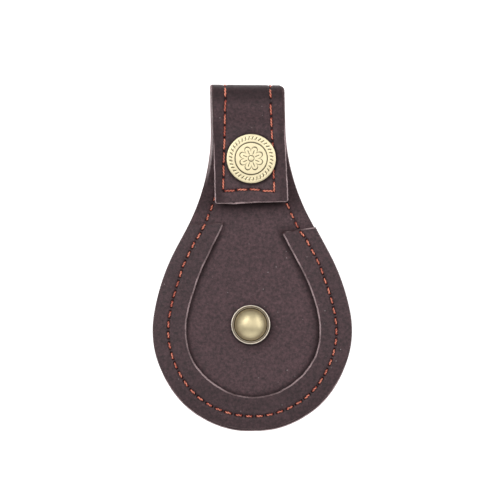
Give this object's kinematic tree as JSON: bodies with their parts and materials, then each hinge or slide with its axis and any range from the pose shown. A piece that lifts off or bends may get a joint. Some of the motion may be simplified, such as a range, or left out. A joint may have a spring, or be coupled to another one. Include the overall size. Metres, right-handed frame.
{
  "type": "leather toe rest pad",
  "caption": "Pear-shaped leather pad with a raised horseshoe rim, a domed metal stud in its seat and a folded strap loop closed by a snap.",
  "frame": {"origin": "on the surface the pad lies on, under the middle of its overall length", "axes": "+Z out of the pad's face, +Y along the neck towards the fold of the strap, +X to the right seen from the front"},
  "size_m": [0.08, 0.139, 0.012],
  "materials": {
    "leather": "smooth dark brown, matt",
    "thread": "waxed rust-red thread",
    "aged_brass": "aged brass, satin",
    "spring_wire": "bright spring wire"
  },
  "bodies": {
    "pad": {"back_leather": "leather", "front_leather": "leather", "rim_leather": "leather", "fold_leather": "leather", "fold_lining": "leather", "seam_thread_front": "thread", "seam_thread_back": "thread", "fold_thread": "thread", "snap_stud": "aged_brass", "snap_post": "aged_brass", "stud_collar": "aged_brass", "stud_dome": "aged_brass", "stud_tube": "aged_brass", "stud_pin": "aged_brass"},
    "strap": {"strap_leather": "leather", "strap_lining": "leather", "strap_thread_outer": "thread", "strap_thread_inner": "thread", "snap_cap_shell": "aged_brass", "snap_cap_post": "aged_brass", "snap_socket": "aged_brass", "snap_spring": "spring_wire"}
  },
  "joints": [
    {"name": "strap_fold", "type": "hinge", "parent": "pad", "child": "strap", "pos_m": [0, 0.0635, 0.006], "axis": [-1, 0, 0], "range_deg": [0, 85], "deforming": ["fold_leather", "fold_lining", "fold_thread", "snap_spring"]}
  ]
}
